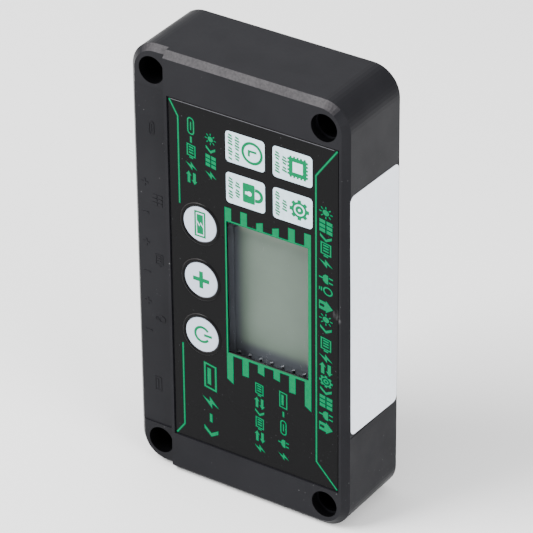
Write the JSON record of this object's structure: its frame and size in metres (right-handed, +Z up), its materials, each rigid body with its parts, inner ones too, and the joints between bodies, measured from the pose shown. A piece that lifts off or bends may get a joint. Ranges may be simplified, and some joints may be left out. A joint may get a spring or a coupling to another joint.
{
  "type": "charge controller",
  "caption": "Flat moulded solar charge controller with a display window, push buttons, a screw-terminal row and charging ports, made to screw to a wall.",
  "frame": {"origin": "bottom centre of the whole part's box, standing on its short lower end", "axes": "+Z up along the length, front panel faces -Y, wall side +Y, terminals and ports on the -X side"},
  "size_m": [0.07, 0.0264, 0.1335],
  "materials": {
    "charcoal_plastic": "fine moulded texture, charcoal",
    "gloss_sheet": "glossy black printed polycarbonate sheet",
    "clear_lens": "clear acrylic window",
    "white_cap": "satin white moulded cap",
    "label_paper": "blank pale self-adhesive label",
    "lcd": "grey-green reflective liquid-crystal glass",
    "light_guide": "white diffusing light guide",
    "green_board": "green solder-masked glass-fibre board",
    "black_plastic": "black moulded plastic",
    "chip_plastic": "black moulded epoxy",
    "terminal_plastic": "green flame-retardant plastic",
    "tongue_plastic": "orange port insulator",
    "zinc_steel": "bright zinc-plated steel",
    "tinned_brass": "tinned and plain brass",
    "gold_contact": "gold-plated contact",
    "ferrite": "moulded ferrite inductor",
    "capacitor_sleeve": "shrink sleeve over an aluminium can",
    "pad_silicone": "soft heat-conducting silicone pad",
    "spreader_aluminium": "plain aluminium sheet",
    "shunt_alloy": "resistance-alloy strip"
  },
  "bodies": {
    "housing": {"front_shell": "charcoal_plastic", "rear_plate": "charcoal_plastic", "rear_plate_screws": "zinc_steel", "graphic_overlay": "gloss_sheet", "window_lens": "clear_lens", "side_label": "label_paper", "switch_bodies": "zinc_steel", "display_board": "green_board", "display_board_screws": "zinc_steel", "lcd_glass": "lcd", "lcd_frame": "black_plastic", "lcd_backlight": "light_guide", "lcd_pins": "zinc_steel", "controller_chip": "chip_plastic", "header_strips": "black_plastic", "header_pins": "gold_contact", "main_board": "green_board", "main_board_screws": "zinc_steel", "terminal_block": "terminal_plastic", "terminal_bars": "tinned_brass", "usb_a_shell": "zinc_steel", "usb_a_tongue": "tongue_plastic", "usb_a_contacts": "gold_contact", "usb_c_shell": "zinc_steel", "usb_c_tongue": "black_plastic", "port_supply_chips": "chip_plastic", "power_inductor": "ferrite", "bulk_capacitors": "capacitor_sleeve", "power_transistors": "chip_plastic", "thermal_pad": "pad_silicone", "heat_spreader": "spreader_aluminium", "current_shunt": "shunt_alloy"},
    "menu_cap": {"button_menu": "white_cap"},
    "menu_plunger": {"plunger_menu": "black_plastic"},
    "plus_cap": {"button_plus": "white_cap"},
    "plus_plunger": {"plunger_plus": "black_plastic"},
    "power_cap": {"button_power": "white_cap"},
    "power_plunger": {"plunger_power": "black_plastic"},
    "screw_1": {"terminal_screw_1": "zinc_steel"},
    "nut_1": {"clamp_nut_1": "tinned_brass"},
    "jaw_1": {"clamp_jaw_1": "zinc_steel"},
    "screw_2": {"terminal_screw_2": "zinc_steel"},
    "nut_2": {"clamp_nut_2": "tinned_brass"},
    "jaw_2": {"clamp_jaw_2": "zinc_steel"},
    "screw_3": {"terminal_screw_3": "zinc_steel"},
    "nut_3": {"clamp_nut_3": "tinned_brass"},
    "jaw_3": {"clamp_jaw_3": "zinc_steel"},
    "screw_4": {"terminal_screw_4": "zinc_steel"},
    "nut_4": {"clamp_nut_4": "tinned_brass"},
    "jaw_4": {"clamp_jaw_4": "zinc_steel"},
    "screw_5": {"terminal_screw_5": "zinc_steel"},
    "nut_5": {"clamp_nut_5": "tinned_brass"},
    "jaw_5": {"clamp_jaw_5": "zinc_steel"},
    "screw_6": {"terminal_screw_6": "zinc_steel"},
    "nut_6": {"clamp_nut_6": "tinned_brass"},
    "jaw_6": {"clamp_jaw_6": "zinc_steel"}
  },
  "joints": [
    {"name": "menu_press", "type": "slide", "parent": "housing", "child": "menu_cap", "axis": [0, 1, 0], "range_m": [0, 0.0003], "stiffness_N_per_m": 4000, "springref_m": -0.0002},
    {"name": "menu_plunger_slide", "type": "slide", "parent": "housing", "child": "menu_plunger", "axis": [0, 1, 0], "range_m": [0, 0.0003]},
    {"name": "plus_press", "type": "slide", "parent": "housing", "child": "plus_cap", "axis": [0, 1, 0], "range_m": [0, 0.0003], "stiffness_N_per_m": 4000, "springref_m": -0.0002},
    {"name": "plus_plunger_slide", "type": "slide", "parent": "housing", "child": "plus_plunger", "axis": [0, 1, 0], "range_m": [0, 0.0003]},
    {"name": "power_press", "type": "slide", "parent": "housing", "child": "power_cap", "axis": [0, 1, 0], "range_m": [0, 0.0003], "stiffness_N_per_m": 4000, "springref_m": -0.0002},
    {"name": "power_plunger_slide", "type": "slide", "parent": "housing", "child": "power_plunger", "axis": [0, 1, 0], "range_m": [0, 0.0003]},
    {"name": "screw_1_turn", "type": "hinge", "parent": "housing", "child": "screw_1", "pos_m": [-0.034, -0.0057, 0.0905], "axis": [1, 0, 0], "range_deg": [0, 1543]},
    {"name": "nut_1_slide", "type": "slide", "parent": "housing", "child": "nut_1", "axis": [-1, 0, 0], "range_m": [0, 0.003]},
    {"name": "jaw_1_slide", "type": "slide", "parent": "housing", "child": "jaw_1", "axis": [0, 1, 0], "range_m": [0, 0.003]},
    {"name": "screw_2_turn", "type": "hinge", "parent": "housing", "child": "screw_2", "pos_m": [-0.034, -0.0057, 0.081], "axis": [1, 0, 0], "range_deg": [0, 1543]},
    {"name": "nut_2_slide", "type": "slide", "parent": "housing", "child": "nut_2", "axis": [-1, 0, 0], "range_m": [0, 0.003]},
    {"name": "jaw_2_slide", "type": "slide", "parent": "housing", "child": "jaw_2", "axis": [0, 1, 0], "range_m": [0, 0.003]},
    {"name": "screw_3_turn", "type": "hinge", "parent": "housing", "child": "screw_3", "pos_m": [-0.034, -0.0057, 0.0715], "axis": [1, 0, 0], "range_deg": [0, 1543]},
    {"name": "nut_3_slide", "type": "slide", "parent": "housing", "child": "nut_3", "axis": [-1, 0, 0], "range_m": [0, 0.003]},
    {"name": "jaw_3_slide", "type": "slide", "parent": "housing", "child": "jaw_3", "axis": [0, 1, 0], "range_m": [0, 0.003]},
    {"name": "screw_4_turn", "type": "hinge", "parent": "housing", "child": "screw_4", "pos_m": [-0.034, -0.0057, 0.062], "axis": [1, 0, 0], "range_deg": [0, 1543]},
    {"name": "nut_4_slide", "type": "slide", "parent": "housing", "child": "nut_4", "axis": [-1, 0, 0], "range_m": [0, 0.003]},
    {"name": "jaw_4_slide", "type": "slide", "parent": "housing", "child": "jaw_4", "axis": [0, 1, 0], "range_m": [0, 0.003]},
    {"name": "screw_5_turn", "type": "hinge", "parent": "housing", "child": "screw_5", "pos_m": [-0.034, -0.0057, 0.0525], "axis": [1, 0, 0], "range_deg": [0, 1543]},
    {"name": "nut_5_slide", "type": "slide", "parent": "housing", "child": "nut_5", "axis": [-1, 0, 0], "range_m": [0, 0.003]},
    {"name": "jaw_5_slide", "type": "slide", "parent": "housing", "child": "jaw_5", "axis": [0, 1, 0], "range_m": [0, 0.003]},
    {"name": "screw_6_turn", "type": "hinge", "parent": "housing", "child": "screw_6", "pos_m": [-0.034, -0.0057, 0.043], "axis": [1, 0, 0], "range_deg": [0, 1543]},
    {"name": "nut_6_slide", "type": "slide", "parent": "housing", "child": "nut_6", "axis": [-1, 0, 0], "range_m": [0, 0.003]},
    {"name": "jaw_6_slide", "type": "slide", "parent": "housing", "child": "jaw_6", "axis": [0, 1, 0], "range_m": [0, 0.003]}
  ],
  "couplings": [
    {"joint": "menu_plunger_slide", "follows": "menu_press", "ratio": 1},
    {"joint": "plus_plunger_slide", "follows": "plus_press", "ratio": 1},
    {"joint": "power_plunger_slide", "follows": "power_press", "ratio": 1},
    {"joint": "screw_1_turn", "follows": "nut_1_slide", "rad_per_m": 8976},
    {"joint": "jaw_1_slide", "follows": "nut_1_slide", "ratio": 1},
    {"joint": "screw_2_turn", "follows": "nut_2_slide", "rad_per_m": 8976},
    {"joint": "jaw_2_slide", "follows": "nut_2_slide", "ratio": 1},
    {"joint": "screw_3_turn", "follows": "nut_3_slide", "rad_per_m": 8976},
    {"joint": "jaw_3_slide", "follows": "nut_3_slide", "ratio": 1},
    {"joint": "screw_4_turn", "follows": "nut_4_slide", "rad_per_m": 8976},
    {"joint": "jaw_4_slide", "follows": "nut_4_slide", "ratio": 1},
    {"joint": "screw_5_turn", "follows": "nut_5_slide", "rad_per_m": 8976},
    {"joint": "jaw_5_slide", "follows": "nut_5_slide", "ratio": 1},
    {"joint": "screw_6_turn", "follows": "nut_6_slide", "rad_per_m": 8976},
    {"joint": "jaw_6_slide", "follows": "nut_6_slide", "ratio": 1}
  ]
}
